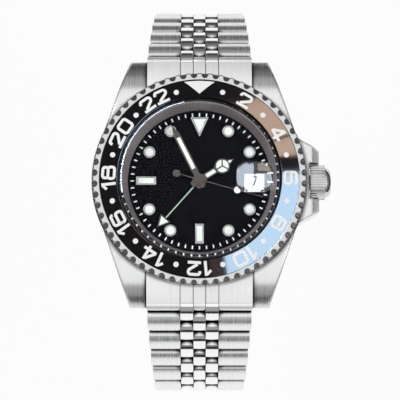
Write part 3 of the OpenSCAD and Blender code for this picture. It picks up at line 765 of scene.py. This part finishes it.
def bezel_printing():
    """White figures at the even hours, dots at the odd ones and a triangle at 24."""
    bm = bmesh.new()
    for hour in range(2, 24, 2):
        signs = str(hour)
        steps = [NARROW_STEP if sign == "1" else NUMERAL_STEP for sign in signs]
        for place, sign in enumerate(signs):
            part = bmesh.new()
            figure(part, sign)
            offset = sum(steps[:place]) + steps[place] / 2 - sum(steps) / 2
            bmesh.ops.translate(part, verts=part.verts, vec=(0, NUMERAL_AT, 0))
            turn_clock(part, part.verts, 15 * hour + math.degrees(offset / NUMERAL_AT))
            add_mesh(bm, part)
    for hour in range(1, 24, 2):
        made = bmesh.ops.create_circle(
            bm, cap_ends=True, segments=24, radius=BEZEL_DOT_R,
            matrix=Matrix.Translation((0, BEZEL_DOT_AT, 0)),
        )
        turn_clock(bm, made["verts"], 15 * hour)
    part = bmesh.new()
    rim = TRIANGLE_RIM
    corners = [(-TRIANGLE_HALF_W, rim), (0, rim - TRIANGLE_HIGH), (TRIANGLE_HALF_W, rim)]
    part.faces.new([part.verts.new((x, y, 0)) for x, y in corners])
    bmesh.ops.subdivide_edges(part, edges=part.edges, cuts=7, use_grid_fill=True)
    for vert in part.verts:
        sag = rim - math.sqrt(rim ** 2 - vert.co.x ** 2)
        vert.co.y -= sag * (1 - (rim - vert.co.y) / TRIANGLE_HIGH)
    add_mesh(bm, part)
    bmesh.ops.remove_doubles(bm, verts=bm.verts, dist=SEAM)
    for face in bm.faces:
        face.normal_update()
        if face.normal.z < 0:
            face.normal_flip()
    for vert in bm.verts:
        vert.co.z = insert_height(math.hypot(vert.co.x, vert.co.y)) + NUMERAL_LIFT
    bmesh.ops.solidify(bm, geom=bm.faces, thickness=NUMERAL_LIFT * 1.5)
    bmesh.ops.scale(bm, verts=bm.verts, vec=(MM, MM, MM))
    return finish_mesh(bm, "bezel_figures", WHITE_PRINT, "bezel")


def minute_track():
    """Sixty white strokes round the edge of the dial."""
    bm = bmesh.new()
    low = top_of("dial")
    outline = bar(TICK_W / 2, TICK_FROM, TICK_TO)
    for minute in range(60):
        turn_clock(bm, plate(bm, outline, low, low + PRINT_LIFT), 6 * minute)
    close_shape(bm)
    return finish_mesh(bm, "minute_track", WHITE_PRINT, "case")


def close_hand(bm, degrees, name, finish, body):
    """Turns a shape drawn at 12 o'clock to its hand and makes it a piece."""
    turn_clock(bm, bm.verts, degrees)
    close_shape(bm)
    finish_mesh(bm, name, finish, body)


def minute_hand_lume():
    """Lume in the pocket of the minute hand."""
    top = top_of("minute_hand")
    bm = bmesh.new()
    plate(bm, bar(*MINUTE_BAR), top - LUME_DEPTH, top + LUME_RISE)
    close_hand(bm, MINUTE_DEG, "minute_lume", LUME, "minutes")


def hour_hand_lume():
    """Lume in the stem, the disc and the tip, and three spokes over the disc."""
    top = top_of("hour_hand")
    low = top - LUME_DEPTH
    high = top + LUME_RISE
    bm = bmesh.new()
    disc(bm, HOUR_DISC_R, (0, HOUR_DISC_AT), low, high)
    plate(bm, bar(*HOUR_BAR), low, high)
    plate(bm, tip(*HOUR_TIP), low, high)
    close_hand(bm, HOUR_DEG, "hour_lume", LUME, "hours")
    bm = bmesh.new()
    for turn in SPOKE_TURNS:
        turn_clock(bm, plate(bm, bar(*SPOKE), low, top + SPOKE_RISE), turn)
    bmesh.ops.translate(bm, verts=bm.verts, vec=(0, HOUR_DISC_AT, 0))
    close_hand(bm, HOUR_DEG, "hour_spokes", HAND_STEEL, "hours")


def seconds_hand_lume():
    """The lume dot, and the round cap on the hands' axis."""
    top = top_of("seconds_hand")
    bm = bmesh.new()
    disc(bm, SECONDS_DISC_R, (0, SECONDS_DISC_AT), top, top + SECONDS_DISC_RISE)
    close_hand(bm, SECONDS_DEG, "seconds_lume", LUME, "seconds")
    bm = bmesh.new()
    disc(bm, CAP_R, (0, 0), top, top + CAP_HIGH)
    rim = [e for e in bm.edges if min(v.co.z for v in e.verts) > top + CAP_HIGH / 2]
    bmesh.ops.bevel(
        bm, geom=rim, offset=CAP_ROUND, offset_type="OFFSET", affect="EDGES",
        segments=3, profile=0.5, material=-1,
    )
    close_hand(bm, 0, "seconds_cap", HAND_STEEL, "seconds")


def gmt_hand_lume():
    """The lume tip and the painted stem of the 24-hour hand."""
    top = top_of("gmt_hand")
    bm = bmesh.new()
    plate(bm, tip(*GMT_TIP), top - GMT_TIP_DEPTH, top + LUME_RISE)
    close_hand(bm, GMT_DEG, "gmt_lume", LUME, "gmt")
    bm = bmesh.new()
    plate(bm, bar(*GMT_STEM), top, top + LUME_RISE)
    close_hand(bm, GMT_DEG, "gmt_stem_paint", GREEN_PAINT, "gmt")


def date_figures():
    """The month's days on the date ring, upright in the window at 3 o'clock."""
    bm = bmesh.new()
    low = top_of("date_ring")
    for day in range(1, DATE_COUNT + 1):
        letters = bpy.data.curves.new("day", "FONT")
        letters.body = str(day)
        letters.align_x = "CENTER"
        letters.align_y = "CENTER"
        letters.size = DATE_SIZE
        holder = bpy.data.objects.new("day", letters)
        bpy.context.scene.collection.objects.link(holder)
        bpy.context.view_layer.update()
        shape = bpy.data.meshes.new_from_object(holder)
        turn = Matrix.Rotation((day - DATE_SHOWN) * 2 * math.pi / DATE_COUNT, 4, "Z")
        shape.transform(turn @ Matrix.Translation((DATE_AT, 0, low + DATE_PRINT)))
        bm.from_mesh(shape)
        bpy.data.meshes.remove(shape)
        bpy.data.objects.remove(holder)
        bpy.data.curves.remove(letters)
    bmesh.ops.remove_doubles(bm, verts=bm.verts, dist=SEAM)
    bmesh.ops.solidify(bm, geom=bm.faces, thickness=DATE_PRINT)
    bmesh.ops.scale(bm, verts=bm.verts, vec=(MM, MM, MM))
    return finish_mesh(bm, "date_figures", DATE_BLACK, "date")


bezel_printing()
minute_track()
minute_hand_lume()
hour_hand_lume()
seconds_hand_lume()
gmt_hand_lume()
date_figures()


# Studio

# Screens round the watch: radius, and how far out towards 6 o'clock the front ones begin
WALL_R = 130
FRONT_SHARE = 0.6

# Name, lowest and highest edge, strength, and whether it stands at 6 o'clock
SCREENS = (
    ("white_screen", -38, -30, 0.95, False),
    ("dark_screen", -30, 10, 0.06, False),
    ("dim_screen", 10, 45, 0.16, False),
    ("grey_screen", 45, 110, 0.4, False),
    ("front_white_screen", -38, 16, 0.95, True),
    ("front_dark_screen", 16, 46, 0.03, True),
    ("front_grey_screen", 46, 110, 0.35, True),
)

# Level cards over the watch, which stand for what the bezel and the magnifier mirror
CARD_HEIGHT = 500
SKY = (0.56, 0.77, 1.0)
PALE_SKY = (0.75, 0.86, 1.0)
EDGE_SKY = (0.8, 0.89, 1.0)
TAN = (1.0, 0.72, 0.55)
PALE_TAN = (1.0, 0.8, 0.66)
BROWN = (1.0, 0.6, 0.5)

# Name, two corners, colour, strength and the piece that mirrors it
CARDS = (
    ("blue_card", (62, -151), (300, 98), SKY, 140, "bezel_insert"),
    ("tan_card", (60, 140), (300, 182), TAN, 75, "bezel_insert"),
    ("far_tan_card", (58, 191), (300, 285), TAN, 70, "bezel_insert"),
    ("brown_card", (24, -151), (52, -81), BROWN, 6, "bezel_insert"),
    ("lens_left", (-360, -81), (10, 309), PALE_SKY, 13, "date_magnifier"),
    ("lens_right", (45, -81), (360, 129), PALE_SKY, 11, "date_magnifier"),
    ("lens_tan", (75, 169), (360, 339), PALE_TAN, 6, "date_magnifier"),
)

# A card low beside the watch, for the crystal's edge
EDGE_CARD_AT = (-66, 52, 5)
EDGE_CARD_SIZE = (150, 40)
EDGE_CARD_STRENGTH = 14

# The floor's half width, and how far it lies below the closed bracelet, so that the open strand
# hangs clear of it
FLOOR_HALF_W = 3000
FLOOR_DROP = 54

# Strength of the world's light on matt surfaces
WORLD_FILL = 0.5

# Name, place, size in metres and power
LAMPS = (
    ("left_lamp", (-460, 230, 500), 0.4, 1.8),
    ("right_lamp", (560, -160, 420), 0.4, 1.5),
)


def seen_rays(tree):
    """Picks camera, mirror and glass rays, but not the light a matt surface gathers through glass."""
    path = tree.nodes.new("ShaderNodeLightPath")
    seen = math_node(tree, "MAXIMUM", path.outputs["Is Camera Ray"], path.outputs["Is Glossy Ray"])
    seen = math_node(tree, "MAXIMUM", seen, path.outputs["Is Transmission Ray"])
    direct = math_node(tree, "LESS_THAN", path.outputs["Diffuse Depth"], 0.5)
    return math_node(tree, "MULTIPLY", seen, direct)


def white_to_the_eye(tree, surface, share):
    """Adds plain white for the rays that are seen, and leaves lamp light on the rest."""
    seen = seen_rays(tree)
    white = tree.nodes.new("ShaderNodeEmission")
    either = tree.nodes.new("ShaderNodeMixShader")
    tree.links.new(math_node(tree, "MULTIPLY", seen, share), either.inputs["Fac"])
    tree.links.new(surface, either.inputs[1])
    tree.links.new(white.outputs["Emission"], either.inputs[2])
    return either.outputs["Shader"]


def studio_floor():
    """A pale floor that looks white and keeps a trace of the shadow."""
    bm = bmesh.new()
    bmesh.ops.create_grid(
        bm, x_segments=1, y_segments=1, size=FLOOR_HALF_W * MM,
        matrix=Matrix.Translation((0, 0, cad_low.z - FLOOR_DROP * MM)),
    )
    mesh = bpy.data.meshes.new("studio_floor")
    bm.to_mesh(mesh)
    bm.free()
    floor = bpy.data.objects.new("studio_floor", mesh)
    bpy.context.scene.collection.objects.link(floor)
    finish, tree, shader = start_finish("pale_floor")
    shader.inputs["Base Color"].default_value = (0.85, 0.85, 0.85, 1)
    shader.inputs["Roughness"].default_value = 0.8
    show_surface(tree, white_to_the_eye(tree, shader.outputs["BSDF"], 0.9))
    mesh.materials.append(finish)


def studio_world():
    """White where it is seen, and a weaker fill on matt surfaces."""
    world = bpy.data.worlds.new("studio")
    bpy.context.scene.world = world
    world.use_nodes = True
    tree = world.node_tree
    back = next(n for n in tree.nodes if n.type == "BACKGROUND")
    back.inputs["Color"].default_value = (1, 1, 1, 1)
    tree.links.new(blend_value(tree, seen_rays(tree), WORLD_FILL, 1.0), back.inputs["Strength"])


def aim(holder, place):
    """Puts a lamp at a place, in millimetres, and turns it to the watch."""
    holder.location = [c * MM for c in place]
    holder.rotation_euler = (-holder.location).to_track_quat("-Z", "Y").to_euler()


def mirror_card(name, size, colour, strength, shown_in):
    """A flat card, in millimetres, that shows only as a mirror image in one piece."""
    card = bpy.data.lights.new(name, "AREA")
    card.shape = "RECTANGLE"
    card.size, card.size_y = [c * MM for c in size]
    card.color = colour
    card.energy = strength * math.pi * card.size * card.size_y
    holder = bpy.data.objects.new(name, card)
    holder.visible_camera = False
    holder.visible_diffuse = False
    holder.visible_transmission = False
    bpy.context.scene.collection.objects.link(holder)
    receivers = bpy.data.collections.new(name + "_receivers")
    receivers.objects.link(bpy.data.objects[shown_in + "_finish"])
    holder.light_linking.receiver_collection = receivers
    return holder


def level_card(name, corner, far_corner, colour, strength, shown_in):
    """A card above the watch, between two corners."""
    size = [abs(b - a) for a, b in zip(corner, far_corner)]
    middle = [(a + b) / 2 for a, b in zip(corner, far_corner)]
    holder = mirror_card(name, size, colour, strength, shown_in)
    holder.location = [c * MM for c in (*middle, CARD_HEIGHT)]


def mirror_only(prop, name, strength):
    """Gives a studio prop a white glow that only mirrors show."""
    finish = bpy.data.materials.new(name)
    finish.use_nodes = True
    tree = finish.node_tree
    tree.nodes.clear()
    output = tree.nodes.new("ShaderNodeOutputMaterial")
    glow = tree.nodes.new("ShaderNodeEmission")
    glow.inputs["Color"].default_value = (1, 1, 1, 1)
    glow.inputs["Strength"].default_value = strength
    tree.links.new(glow.outputs["Emission"], output.inputs["Surface"])
    prop.data.materials.append(finish)
    prop.visible_camera = False
    prop.visible_diffuse = False
    prop.visible_shadow = False
    prop.visible_transmission = False


def horizon_wall(name, low, high, strength, front):
    """A round screen between two heights, at 6 o'clock or on the other sides, for the steel."""
    bm = bmesh.new()
    bmesh.ops.create_cone(
        bm, cap_ends=False, segments=64, radius1=WALL_R * MM, radius2=WALL_R * MM,
        depth=(high - low) * MM, matrix=Matrix.Translation((0, 0, (low + high) / 2 * MM)),
    )
    bmesh.ops.bisect_plane(
        bm, geom=list(bm.verts) + list(bm.edges) + list(bm.faces),
        plane_co=(0, -FRONT_SHARE * WALL_R * MM, 0), plane_no=(0, 1 if front else -1, 0),
        clear_outer=True,
    )
    mesh = bpy.data.meshes.new(name)
    bm.to_mesh(mesh)
    bm.free()
    wall = bpy.data.objects.new(name, mesh)
    bpy.context.scene.collection.objects.link(wall)
    mirror_only(wall, name, strength)


def soft_lamp(name, place, size, power):
    """A round lamp that lights the watch from a place, in millimetres."""
    lamp = bpy.data.lights.new(name, "AREA")
    lamp.shape = "DISK"
    lamp.size = size
    lamp.energy = power
    holder = bpy.data.objects.new(name, lamp)
    aim(holder, place)
    bpy.context.scene.collection.objects.link(holder)


def photo_camera():
    """The camera at the photograph's view, a little below 6 o'clock."""
    camera = bpy.data.cameras.new("photo_camera")
    camera.sensor_width = SENSOR
    camera.lens = CAMERA_LENS
    holder = bpy.data.objects.new("photo_camera", camera)
    rise = math.radians(CAMERA_ELEVATION)
    back = Vector((0, -math.cos(rise), math.sin(rise)))
    holder.location = (Vector(CAMERA_AIM) + back * CAMERA_DISTANCE) * MM
    holder.rotation_euler = (-back).to_track_quat("-Z", "Y").to_euler()
    camera.clip_start = 0.01
    camera.clip_end = 20
    bpy.context.scene.collection.objects.link(holder)
    bpy.context.scene.camera = holder


studio_floor()
studio_world()
for card in CARDS:
    level_card(*card)
edge = mirror_card("crystal_edge", EDGE_CARD_SIZE, EDGE_SKY, EDGE_CARD_STRENGTH, "crystal")
aim(edge, EDGE_CARD_AT)
for screen in SCREENS:
    horizon_wall(*screen)
for lamp in LAMPS:
    soft_lamp(*lamp)
photo_camera()
bpy.context.scene.view_settings.view_transform = "Standard"
